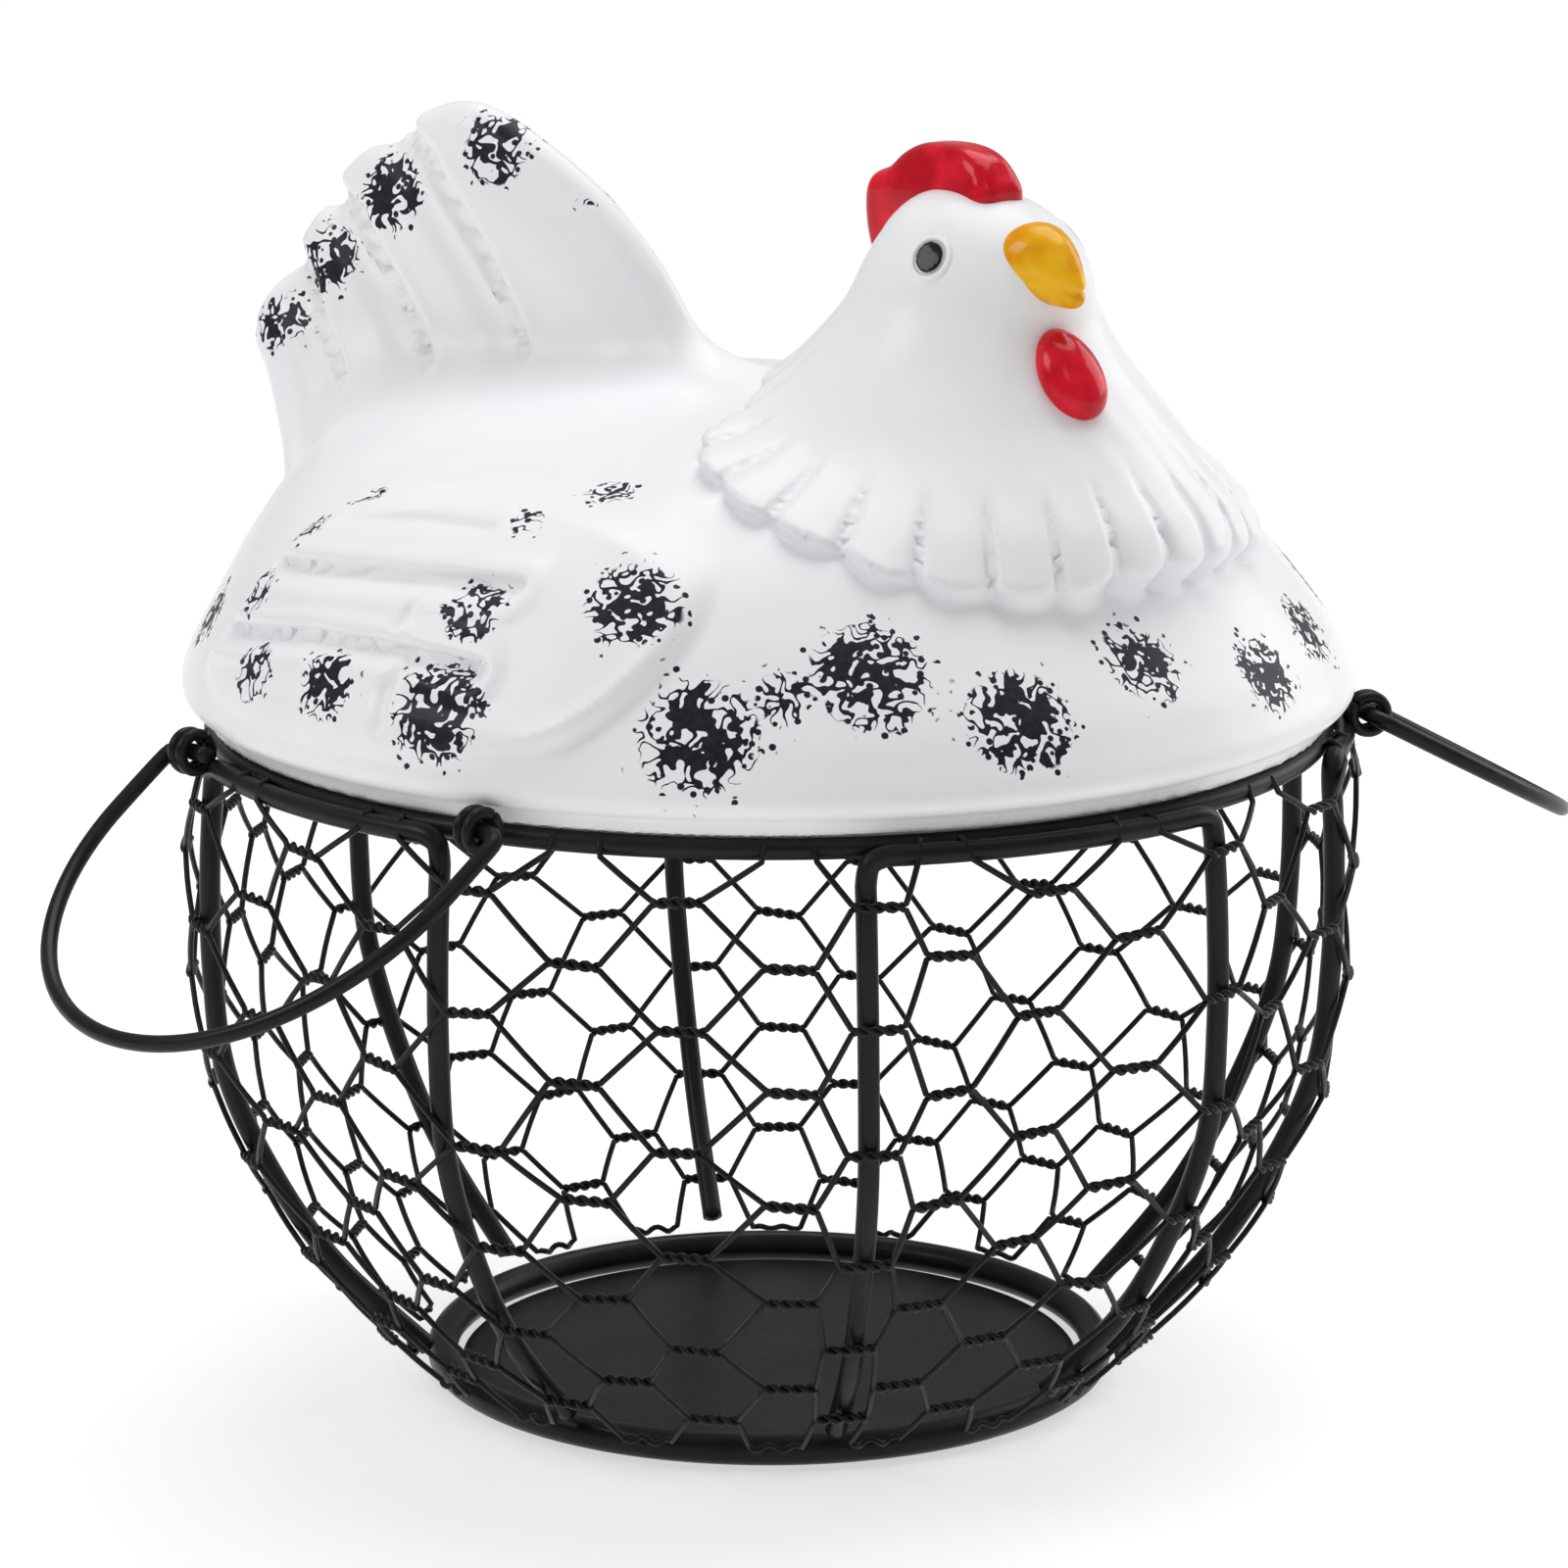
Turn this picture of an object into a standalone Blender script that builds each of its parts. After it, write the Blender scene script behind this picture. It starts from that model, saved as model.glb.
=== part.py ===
"""Round wire egg basket with two bail handles and a hollow ceramic lid shaped like a hen.

Metres, +Z up. The origin is the centre of the basket's floor, on the surface it stands on.
Directions around the basket are angles from +X; the front of the basket faces -Y.
"""

import math

import bmesh
import bpy
import numpy as np
from mathutils import Matrix, Vector

MM = 0.001
GAP = 0.3 * MM  # clearance left between pieces that are welded or rest on each other

# Rim and ribs
RIM_RADIUS = 84.5 * MM
RIM_HEIGHT = 102.6 * MM
ROD = 1.6 * MM  # radius of the rim and rib rods
WALL = ((53.1, 5.0), (68.8, 21.3), (79.1, 37.5), (86.0, 53.8), (88.1, 70.1), (88.4, 86.3), (87.3, 100.5))
RIB_FOOT_HEIGHT = 6.6 * MM
HAIRPINS = {"left": 189.0, "front": 268.0, "right": 332.0, "back": 90.0}
HAIRPIN_HALF_SPREAD = 19.0
HAIRPIN_CORNER = 4.0 * MM

# Base
BASE_RING_RADIUS = 51.0 * MM
BASE_RING_ROD = 2.4 * MM
FLOOR_RADIUS = 48.0 * MM
FLOOR_THICKNESS = 1.2 * MM

# Chicken wire
NET_COLUMNS = 36
NET_PANELS = 9
NET_ROWS = 6
NET_PHASE = 2.0
NET_WIRE = 1.0 * MM
NET_BOTTOM = 4.6 * MM
NET_SAG = 4.0 * MM  # how far the net is pulled in midway between the two ribs of a hairpin
NET_SAG_FADE = 40.0 * MM  # height over which the pull grows from the base
NET_TOP = 98.6 * MM
NET_TOP_FADE = 12.0 * MM  # depth below the rim over which the pull dies away
TWIST_SHARE = 0.48  # part of a column's width that the twisted pair takes up
PANEL_GAP = 1.0 * MM

# Handles
HANDLE_ANGLES = {"left": 192.0, "right": 348.0}
HANDLE_DROOP = {"left": 36.0, "right": 28.0}
HANDLE_ROD = 1.25 * MM
HANDLE_HALF_WIDTH = 38.0 * MM
HANDLE_ARM = 12.0 * MM
HANDLE_CORNER = 2.2 * MM
HANDLE_END = 30.0 * MM
EYE_HEIGHT = 104.5 * MM
EYE_RADIUS = 91.0 * MM
EYE_SPREAD = 21.5
EYE_RING = 2.7 * MM
EYE_WALL = 0.8 * MM
EYE_LENGTH = 4.6 * MM

# Hen lid: heights above the floor; rear, front and side reach from the basket's axis
HEN_HEADING = 295.0
HEAD_HEADING = 281.0
LID_SEAT = RIM_HEIGHT + ROD + GAP
BODY = (
    (107.4, 86.6, 86.6, 86.6),
    (110.0, 89.0, 89.0, 89.0),
    (120.0, 85.6, 84.0, 84.8),
    (131.0, 79.5, 74.5, 77.0),
    (140.0, 73.0, 65.5, 66.5),
    (147.0, 64.0, 56.0, 52.0),
    (151.5, 50.0, 43.0, 35.0),
    (153.6, 34.0, 30.0, 19.0),
)
NECK = (
    (130.0, 34.0, 42.5),
    (142.0, 34.0, 40.0),
    (149.0, 34.0, 35.0),
    (156.0, 34.0, 28.8),
    (163.0, 35.0, 23.3),
    (170.0, 36.4, 18.9),
    (176.0, 37.2, 16.6),
    (181.0, 37.4, 14.6),
    (185.0, 37.4, 11.6),
    (188.6, 37.4, 6.2),
)
CERAMIC = 4.5 * MM
LID_STEP = (80.0 * MM, 85.4 * MM)
LID_LIP = (79.4 * MM, 82.2 * MM)
LIP_DROP = 3.0 * MM
TAIL = (
    (-91, 143), (-94, 153), (-91, 161), (-86, 166), (-85, 173), (-79, 176), (-75, 183), (-67, 185),
    (-62, 192), (-53, 192), (-38, 186), (-27, 178), (-18, 168), (-10, 157), (0, 150), (-4, 138), (-40, 132),
    (-80, 130),
)
TAIL_HALF_THICKNESS = 4.2 * MM
TAIL_ROUNDING = 2.5 * MM
WING_CENTRE = (-16.0 * MM, 127.0 * MM)
WING_SIZE = (46.0 * MM, 24.0 * MM, 17.5 * MM)
WING_REACH = 72.0 * MM
WING_RELIEF = 3.0 * MM

# Comb outline in the head's plane of symmetry: distance ahead of the head's centre, height
COMB = ((-16, 172), (-20, 176), (-20.5, 186), (-14, 189.5), (-8, 193), (1, 193.5), (6, 190.5), (7, 186.5), (2, 181))
COMB_HALF_THICKNESS = 3.2 * MM
COMB_ROUNDING = 1.6 * MM

PARTS = "egg_basket"
CUTTERS = "egg_basket_cutters"


def clear_scene():
    for obj in list(bpy.data.objects):
        bpy.data.objects.remove(obj, do_unlink=True)
    for name in (PARTS, CUTTERS):
        collection = bpy.data.collections.new(name)
        bpy.context.scene.collection.children.link(collection)
    bpy.data.collections[CUTTERS].hide_render = True


def finish(name, roughness, metallic, colour):
    """A paint or glaze of one colour."""
    material = bpy.data.materials.new(name)
    material.use_nodes = True
    shader = material.node_tree.nodes["Principled BSDF"]
    shader.inputs["Base Color"].default_value = (*colour, 1.0)
    shader.inputs["Roughness"].default_value = roughness
    shader.inputs["Metallic"].default_value = metallic
    material.diffuse_color = (*colour, 1.0)
    return material


def add_part(obj, material):
    """Moves a new object into the parts collection and gives it its finish."""
    for collection in list(obj.users_collection):
        collection.objects.unlink(obj)
    bpy.data.collections[PARTS].objects.link(obj)
    obj.data.materials.clear()
    obj.data.materials.append(material)
    if obj.type == "MESH":
        obj.data.shade_smooth()
        obj.data.set_sharp_from_angle(angle=math.radians(40))
    return obj


def make_cutter(obj):
    for collection in list(obj.users_collection):
        collection.objects.unlink(obj)
    bpy.data.collections[CUTTERS].objects.link(obj)
    obj.hide_render = True
    obj.display_type = "WIRE"
    return obj


def polar(angle, radius, height=0.0):
    """A point at an angle in degrees, a distance from the basket's axis and a height."""
    turn = math.radians(angle)
    return Vector((radius * math.cos(turn), radius * math.sin(turn), height))


def new_object(name, mesh_builder):
    mesh = bpy.data.meshes.new(name)
    mesh_builder.normal_update()
    mesh_builder.to_mesh(mesh)
    mesh_builder.free()
    obj = bpy.data.objects.new(name, mesh)
    bpy.context.scene.collection.objects.link(obj)
    return obj


def torus(name, radius, rod, height, segments, sides):
    bpy.ops.mesh.primitive_torus_add(
        major_radius=radius, minor_radius=rod, major_segments=segments, minor_segments=sides,
        location=(0, 0, height),
    )
    obj = bpy.context.object
    obj.name = name
    return obj


def rod_along(name, points, radius, closed=False):
    """A round rod through the points, with flat ends."""
    curve = bpy.data.curves.new(name, "CURVE")
    curve.dimensions = "3D"
    curve.bevel_depth = radius
    curve.bevel_resolution = 2
    curve.use_fill_caps = True
    spline = curve.splines.new("POLY")
    spline.points.add(len(points) - 1)
    for slot, point in zip(spline.points, points):
        slot.co = (*point, 1.0)
    spline.use_cyclic_u = closed
    obj = bpy.data.objects.new(name, curve)
    bpy.context.scene.collection.objects.link(obj)
    return obj


def as_mesh(curve_object):
    """Replaces a curve object by a mesh of the same shape, with its caps welded."""
    graph = bpy.context.evaluated_depsgraph_get()
    mesh = bpy.data.meshes.new_from_object(curve_object.evaluated_get(graph))
    builder = bmesh.new()
    builder.from_mesh(mesh)
    bmesh.ops.remove_doubles(builder, verts=builder.verts, dist=1e-6)
    bmesh.ops.recalc_face_normals(builder, faces=builder.faces)
    builder.to_mesh(mesh)
    builder.free()
    name = curve_object.name
    obj = bpy.data.objects.new(name, mesh)
    obj.matrix_world = curve_object.matrix_world.copy()
    bpy.context.scene.collection.objects.link(obj)
    bpy.data.objects.remove(curve_object)
    obj.name = name
    return obj


def boolean(obj, other, operation):
    modifier = obj.modifiers.new(f"{operation.lower()}_{other.name}", "BOOLEAN")
    modifier.operation = operation
    modifier.object = other
    modifier.solver = "EXACT"


def smooth_line(points, steps):
    """Catmull-Rom line through the points, with the given steps between neighbours."""
    padded = [2 * points[0] - points[1], *points, 2 * points[-1] - points[-2]]
    line = []
    for i in range(1, len(padded) - 2):
        a, b, c, d = padded[i - 1 : i + 3]
        for step in range(steps):
            t = step / steps
            line.append(
                0.5 * (2 * b + (c - a) * t + (2 * a - 5 * b + 4 * c - d) * t**2 + (3 * b - a - 3 * c + d) * t**3)
            )
    line.append(points[-1])
    return np.array(line)


def wall_line(outward, bottom):
    """Radius and height up the bulging wall, moved outward along its normal, from the bottom height up."""
    line = smooth_line([np.array(point) * MM for point in WALL], 8)
    slope = np.gradient(line, axis=0)
    slope /= np.linalg.norm(slope, axis=1)[:, None]
    line = line + outward * np.column_stack([slope[:, 1], -slope[:, 0]])
    return line[line[:, 1] >= bottom]


def build_rim(paint):
    return add_part(torus("rim_ring", RIM_RADIUS, ROD, RIM_HEIGHT, 72, 8), paint)


def build_base(paint):
    ring = torus("base_ring", BASE_RING_RADIUS, BASE_RING_ROD, BASE_RING_ROD, 56, 8)
    add_part(ring, paint)
    bpy.ops.mesh.primitive_cylinder_add(
        vertices=56, radius=FLOOR_RADIUS, depth=FLOOR_THICKNESS, location=(0, 0, FLOOR_THICKNESS / 2)
    )
    floor = bpy.context.object
    floor.name = "floor_plate"
    return add_part(floor, paint)


def build_hairpin(name, middle, paint):
    """One rod: up the wall, round a corner, along under the rim, and down the wall again."""
    wall = wall_line(0.0, RIB_FOOT_HEIGHT)
    top_radius, top_height = wall[-1]
    climb = [tuple(point) for point in wall if point[1] < top_height - HAIRPIN_CORNER][::3]
    corner_angle = math.degrees(HAIRPIN_CORNER / top_radius)
    half = []
    for radius, height in climb:
        half.append((HAIRPIN_HALF_SPREAD, radius, height))
    for step in range(4):
        turn = math.radians(step * 30)
        angle = HAIRPIN_HALF_SPREAD - corner_angle * (1 - math.cos(turn))
        half.append((angle, top_radius, top_height - HAIRPIN_CORNER * (1 - math.sin(turn))))
    run = np.linspace(half[-1][0], 0.0, 6)[1:-1]
    half += [(angle, top_radius, top_height) for angle in run]
    points = [polar(middle - angle, radius, height) for angle, radius, height in half]
    points.append(polar(middle, top_radius, top_height))
    points += [polar(middle + angle, radius, height) for angle, radius, height in reversed(half)]
    return add_part(rod_along(f"rib_rod_{name}", points, ROD), paint)


def build_net_panel(number, paint):
    """A panel of chicken wire: six-sided cells whose level edges are the twisted pairs."""
    line = wall_line(ROD + GAP + NET_WIRE / 2, NET_BOTTOM)
    line = line[line[:, 1] <= NET_TOP]
    length = np.concatenate([[0], np.cumsum(np.linalg.norm(np.diff(line, axis=0), axis=1))])
    pitch = length[-1] / (NET_ROWS + 0.5)
    column_angle = 360.0 / NET_COLUMNS
    columns = NET_COLUMNS // NET_PANELS
    first = number * columns
    middle = (first + (columns - 1) / 2) * column_angle
    half_width = columns * column_angle / 2

    ribs = sorted((middle + side * HAIRPIN_HALF_SPREAD) % 360 for middle in HAIRPINS.values() for side in (-1, 1))

    def sag(angle):
        """How far the net is pulled in from the ribs' curve at an angle, by being stretched from rib to rib."""
        for start, end in zip(ribs, ribs[1:] + [ribs[0] + 360]):
            share = ((angle - start) % 360) / (end - start)
            if share < 1:
                spread = (end - start) / (2 * HAIRPIN_HALF_SPREAD)
                return NET_SAG * spread**0.8 * math.sin(math.pi * share) ** 2
        return 0.0

    def corner(column, row, side):
        along = pitch * (row + 0.5 * (column % 2))
        radius = np.interp(along, length, line[:, 0])
        height = np.interp(along, length, line[:, 1])
        angle = (column + side * TWIST_SHARE / 2) * column_angle - middle
        squeeze = 1 - math.degrees(PANEL_GAP / radius) / half_width
        place = NET_PHASE + middle + angle * squeeze
        pull = sag(place) * min(1.0, height / NET_SAG_FADE, (NET_TOP - height) / NET_TOP_FADE + 0.15)
        return polar(place, radius - pull, height)

    builder = bmesh.new()
    corners = {}

    def vertex(column, row, side):
        key = (column, row, side)
        if key not in corners:
            corners[key] = builder.verts.new(corner(*key))
        return corners[key]

    for column in range(first, first + columns):
        shift = column % 2
        for row in range(NET_ROWS):
            builder.faces.new(
                (
                    vertex(column, row, -1),
                    vertex(column, row, 1),
                    vertex(column + 1, row + shift, -1),
                    vertex(column, row + 1, 1),
                    vertex(column, row + 1, -1),
                    vertex(column - 1, row + shift, 1),
                )
            )
    panel = new_object(f"net_panel_{number + 1}", builder)
    wires = panel.modifiers.new("wires", "WIREFRAME")
    wires.thickness = NET_WIRE
    wires.use_even_offset = False
    wires.use_boundary = True
    wires.use_replace = True
    return add_part(panel, paint)


def handle_frame(name):
    """Matrix of a handle's hinge: X along the hinge axis, Y out along the drooping bow."""
    out = polar(HANDLE_ANGLES[name], 1.0)
    along = Vector((-out.y, out.x, 0))
    droop = math.radians(HANDLE_DROOP[name])
    reach = out * math.cos(droop) - Vector((0, 0, math.sin(droop)))
    normal = along.cross(reach)
    place = out * EYE_RADIUS * math.cos(math.radians(EYE_SPREAD)) + Vector((0, 0, EYE_HEIGHT))
    matrix = Matrix((along, reach, normal)).transposed().to_4x4()
    return Matrix.Translation(place) @ matrix


def build_eyes(name, paint):
    """Two short rolled sleeves on the outside of the rim that a handle's ends turn in."""
    frame = handle_frame(name)
    half_span = EYE_RADIUS * math.sin(math.radians(EYE_SPREAD))
    for side, end in ((-1, "a"), (1, "b")):
        bpy.ops.mesh.primitive_torus_add(
            major_radius=EYE_RING, minor_radius=EYE_WALL, major_segments=18, minor_segments=8
        )
        eye = bpy.context.object
        eye.name = f"eye_{name}_{end}"
        stretch = EYE_LENGTH / (2 * EYE_WALL)
        eye.data.transform(Matrix.Rotation(math.pi / 2, 4, "Y") @ Matrix.Diagonal((1, 1, stretch, 1)))
        eye.matrix_world = frame @ Matrix.Translation((side * half_span, 0, 0))
        add_part(eye, paint)


def build_handle(name, paint):
    """A bail whose two ends turn inward through the eyes. Its origin is on its hinge axis."""
    half = [(HANDLE_END, 0.0)]
    for step in range(4):
        turn = math.radians(step * 30)
        across = HANDLE_HALF_WIDTH - HANDLE_CORNER * (1 - math.sin(turn))
        half.append((across, HANDLE_CORNER * (1 - math.cos(turn))))
    for step in range(9):
        turn = math.radians(step * 10)
        across = HANDLE_HALF_WIDTH * math.cos(turn)
        half.append((across, HANDLE_ARM + HANDLE_HALF_WIDTH * math.sin(turn)))
    top = [(0.0, HANDLE_ARM + HANDLE_HALF_WIDTH)]
    outline = half + top + [(-across, out) for across, out in reversed(half)]
    handle = rod_along(f"handle_{name}", [Vector((across, out, 0)) for across, out in outline], HANDLE_ROD)
    handle.matrix_world = handle_frame(name)
    return add_part(handle, paint)


def turned(name, profile, segments):
    """A ring turned about +Z from a closed profile of (radius, height) that runs down its outer side."""
    builder = bmesh.new()
    corners = [builder.verts.new((radius, 0, height)) for radius, height in profile]
    for i, corner in enumerate(corners):
        builder.edges.new((corner, corners[(i + 1) % len(corners)]))
    obj = new_object(name, builder)
    screw = obj.modifiers.new("turn", "SCREW")
    screw.axis = "Z"
    screw.steps = segments
    screw.render_steps = segments
    screw.use_merge_vertices = True
    screw.merge_threshold = 0.0001
    return obj


def loft(name, rings):
    """A closed solid through rings of equal point count, from the lowest ring up."""
    builder = bmesh.new()
    rows = [[builder.verts.new(point) for point in ring] for ring in rings]
    count = len(rows[0])
    for low, high in zip(rows, rows[1:]):
        for i in range(count):
            j = (i + 1) % count
            builder.faces.new((low[i], low[j], high[j], high[i]))
    builder.faces.new(list(reversed(rows[0])))
    builder.faces.new(rows[-1])
    return new_object(name, builder)


def body_rings(inset, drop, floor_height):
    """Rings of the hen's body; inset and drop give the hollow inside."""
    rings = []
    turn_to_heading = Matrix.Rotation(math.radians(HEN_HEADING), 3, "Z")
    for height, rear, front, side in BODY:
        ring = []
        for step in range(40):
            turn = math.tau * step / 40
            reach = front if math.cos(turn) > 0 else rear
            x = (reach * MM - inset) * math.cos(turn)
            y = (side * MM - inset) * math.sin(turn)
            ring.append(turn_to_heading @ Vector((x, y, max(height * MM - drop, floor_height))))
        rings.append(ring)
    if drop:
        rings[0] = [Vector((point.x, point.y, floor_height - drop)) for point in rings[0]]
    return rings


def neck_at(height):
    """Centre and radius of the neck and head at a height."""
    heights = [station[0] * MM for station in NECK]
    along = np.interp(height, heights, [station[1] * MM for station in NECK])
    radius = np.interp(height, heights, [station[2] * MM for station in NECK])
    return polar(HEN_HEADING, along, height), radius


def neck_rings(grow):
    rings = []
    for height, _, _ in NECK:
        centre, radius = neck_at(height * MM)
        radius += grow
        rise = Vector((0, 0, grow if height == NECK[-1][0] else 0))
        rings.append([centre + rise + polar(360 * step / 28, radius) for step in range(28)])
    return rings


def upright_plate(name, outline, half_thickness, rounding, heading, foot):
    """A thick plate with rounded edges, standing in the vertical plane of a heading."""
    curve = bpy.data.curves.new(name, "CURVE")
    curve.dimensions = "2D"
    curve.fill_mode = "BOTH"
    curve.extrude = half_thickness
    curve.bevel_depth = rounding
    curve.bevel_resolution = 1
    curve.offset = -rounding
    spline = curve.splines.new("POLY")
    spline.points.add(len(outline) - 1)
    for slot, (along, height) in zip(spline.points, outline):
        slot.co = (along * MM, height * MM, 0, 1)
    spline.use_cyclic_u = True
    plate = bpy.data.objects.new(name, curve)
    upright = Matrix.Rotation(math.radians(heading), 4, "Z") @ Matrix.Rotation(math.pi / 2, 4, "X")
    plate.matrix_world = Matrix.Translation(foot) @ upright
    bpy.context.scene.collection.objects.link(plate)
    bpy.context.view_layer.update()
    return as_mesh(plate)


def build_tail():
    """The upright fan of tail feathers, in the hen's plane of symmetry."""
    tail = upright_plate("tail", TAIL, TAIL_HALF_THICKNESS, TAIL_ROUNDING, HEN_HEADING, Vector())
    return make_cutter(tail)


def build_wing(side):
    """A wing in low relief: a slightly larger body, kept only inside an egg-shaped patch."""
    name = "wing_left" if side > 0 else "wing_right"
    wing = make_cutter(loft(name, body_rings(-WING_RELIEF, 0.0, 0.0)))
    bpy.ops.mesh.primitive_uv_sphere_add(segments=24, ring_count=12, radius=1.0)
    patch = bpy.context.object
    patch.name = f"{name}_patch"
    along, height = WING_CENTRE
    turn = Matrix.Rotation(math.radians(HEN_HEADING), 4, "Z")
    place = Matrix.Translation((along, side * WING_REACH, height))
    patch.data.transform(turn @ place @ Matrix.Diagonal((*WING_SIZE, 1)))
    boolean(wing, make_cutter(patch), "INTERSECT")
    return wing


def build_hen(glaze):
    hen = loft("hen_lid", body_rings(0.0, 0.0, 0.0))
    neck = make_cutter(loft("neck", neck_rings(0.0)))
    step_profile = (
        (LID_STEP[0], 110.0 * MM),
        (LID_STEP[1], 110.0 * MM),
        (LID_STEP[1], LID_SEAT),
        (LID_LIP[1], LID_SEAT),
        (LID_LIP[1], LID_SEAT - LIP_DROP),
        (LID_LIP[0], LID_SEAT - LIP_DROP),
    )
    step = make_cutter(turned("step", step_profile, 72))
    for other in (neck, build_tail(), build_wing(1), build_wing(-1), step):
        boolean(hen, other, "UNION")
    hollow = make_cutter(loft("body_hollow", body_rings(CERAMIC + 5 * MM, CERAMIC, 95.0 * MM)))
    boolean(hen, hollow, "DIFFERENCE")
    throat = []
    for station in NECK[:-2]:
        centre, radius = neck_at(station[0] * MM)
        throat.append([centre + polar(360 * turn / 24, radius - CERAMIC) for turn in range(24)])
    boolean(hen, make_cutter(loft("neck_hollow", throat)), "DIFFERENCE")
    return add_part(hen, glaze)


def build_on_head(name, angle, height, size, tilt, sink, glaze):
    """A rounded boss standing on the head's surface, cut to follow it."""
    centre, radius = neck_at(height)
    bpy.ops.mesh.primitive_uv_sphere_add(segments=16, ring_count=10, radius=1.0)
    boss = bpy.context.object
    boss.name = name
    turn = Matrix.Rotation(math.radians(angle), 4, "Z")
    lean = Matrix.Rotation(math.radians(tilt), 4, "Y")
    boss.data.transform(lean @ Matrix.Diagonal((*size, 1)))
    boss.matrix_world = Matrix.Translation(centre) @ turn @ Matrix.Translation((radius - sink, 0, 0))
    boolean(boss, bpy.data.objects["head_clearance"], "DIFFERENCE")
    return add_part(boss, glaze)


def build_face(red, yellow, black):
    make_cutter(loft("head_clearance", neck_rings(GAP)))
    centre, _ = neck_at(NECK[-1][0] * MM)
    foot = Vector((centre.x, centre.y, 0))
    comb = upright_plate("comb", COMB, COMB_HALF_THICKNESS, COMB_ROUNDING, HEAD_HEADING, foot)
    boolean(comb, bpy.data.objects["head_clearance"], "DIFFERENCE")
    add_part(comb, red)
    build_on_head("beak", HEAD_HEADING, 177.5 * MM, (8.2 * MM, 5.8 * MM, 6.0 * MM), 12, 0.5 * MM, yellow)
    build_on_head("wattle", HEAD_HEADING, 162.5 * MM, (4.4 * MM, 5.4 * MM, 7.0 * MM), -24, 0.5 * MM, red)
    for side, name in ((-1, "hen_eye_right"), (1, "hen_eye_left")):
        angle = HEAD_HEADING + side * 70
        build_on_head(name, angle, 179.0 * MM, (1.6 * MM, 2.2 * MM, 2.7 * MM), 0, 0.3 * MM, black)


def main():
    clear_scene()
    black_paint = finish("black_paint", 0.38, 0.0, (0.012, 0.012, 0.013))
    white_glaze = finish("white_glaze", 0.3, 0.0, (0.82, 0.83, 0.84))
    red_glaze = finish("red_glaze", 0.18, 0.0, (0.55, 0.01, 0.03))
    yellow_glaze = finish("yellow_glaze", 0.2, 0.0, (0.85, 0.45, 0.03))
    black_glaze = finish("black_glaze", 0.2, 0.0, (0.02, 0.02, 0.02))
    build_rim(black_paint)
    build_base(black_paint)
    for name, middle in HAIRPINS.items():
        build_hairpin(name, middle, black_paint)
    for number in range(NET_PANELS):
        build_net_panel(number, black_paint)
    for name in HANDLE_ANGLES:
        build_eyes(name, black_paint)
        build_handle(name, black_paint)
    build_hen(white_glaze)
    build_face(red_glaze, yellow_glaze, black_glaze)


main()
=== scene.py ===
import math

import bmesh
import bpy
import numpy as np
from mathutils import Matrix, Vector


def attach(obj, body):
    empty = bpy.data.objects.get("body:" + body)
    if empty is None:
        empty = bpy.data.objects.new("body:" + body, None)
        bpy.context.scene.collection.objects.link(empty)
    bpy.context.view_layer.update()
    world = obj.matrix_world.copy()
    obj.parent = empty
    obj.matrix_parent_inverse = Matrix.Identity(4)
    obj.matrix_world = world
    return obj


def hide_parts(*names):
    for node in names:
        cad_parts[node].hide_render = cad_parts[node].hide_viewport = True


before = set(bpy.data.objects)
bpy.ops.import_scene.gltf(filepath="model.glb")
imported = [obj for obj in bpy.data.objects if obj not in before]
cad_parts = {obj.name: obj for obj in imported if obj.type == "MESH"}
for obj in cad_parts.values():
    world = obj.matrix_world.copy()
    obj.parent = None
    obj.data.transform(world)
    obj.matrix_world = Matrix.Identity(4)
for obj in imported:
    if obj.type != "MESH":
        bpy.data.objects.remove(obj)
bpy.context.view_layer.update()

MM = 0.001

# The hen's own axes: x ahead, y to its left, z up; this is x's direction in the row frame, in degrees
HEADING = 295.0
HEAD_TURN = -14.0


def material(name):
    """A new material, with its node tree and Principled shader."""
    made = bpy.data.materials.new(name)
    made.use_nodes = True
    return made, made.node_tree, made.node_tree.nodes["Principled BSDF"]


def add(tree, kind, inputs=None, **settings):
    """A new shader node with its settings and unlinked input values."""
    node = tree.nodes.new(kind)
    for key, value in settings.items():
        setattr(node, key, value)
    for key, value in (inputs or {}).items():
        node.inputs[key].default_value = value
    return node


def object_point(tree):
    return add(tree, "ShaderNodeTexCoord").outputs["Object"]


def noise(tree, point, scale, detail=3.0, distortion=0.0, roughness=0.5):
    node = add(tree, "ShaderNodeTexNoise", {
        "Scale": scale, "Detail": detail, "Distortion": distortion, "Roughness": roughness,
    })
    tree.links.new(point, node.inputs["Vector"])
    return node.outputs["Fac"]


def ramp(tree, value, low, high, to_low=0.0, to_high=1.0):
    """The value, spread from low..high to to_low..to_high and held there."""
    node = add(tree, "ShaderNodeMapRange", {
        "From Min": low, "From Max": high, "To Min": to_low, "To Max": to_high,
    }, interpolation_type="SMOOTHSTEP")
    tree.links.new(value, node.inputs["Value"])
    return node.outputs["Result"]


def math_node(tree, operation, a, b):
    node = add(tree, "ShaderNodeMath", operation=operation)
    for socket, value in zip(node.inputs, (a, b)):
        if isinstance(value, (int, float)):
            socket.default_value = value
        else:
            tree.links.new(value, socket)
    return node.outputs["Value"]


def mix_colour(tree, factor, a, b):
    node = add(tree, "ShaderNodeMix", data_type="RGBA")
    for index, value in ((0, factor), (6, a), (7, b)):
        if isinstance(value, (int, float)):
            node.inputs[index].default_value = value
        elif isinstance(value, tuple):
            node.inputs[index].default_value = (*value, 1.0)
        else:
            tree.links.new(value, node.inputs[index])
    return node.outputs[2]


def bump(tree, shader, height, strength, distance):
    node = add(tree, "ShaderNodeBump", {"Strength": strength, "Distance": distance})
    tree.links.new(height, node.inputs["Height"])
    tree.links.new(node.outputs["Normal"], shader.inputs["Normal"])


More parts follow.
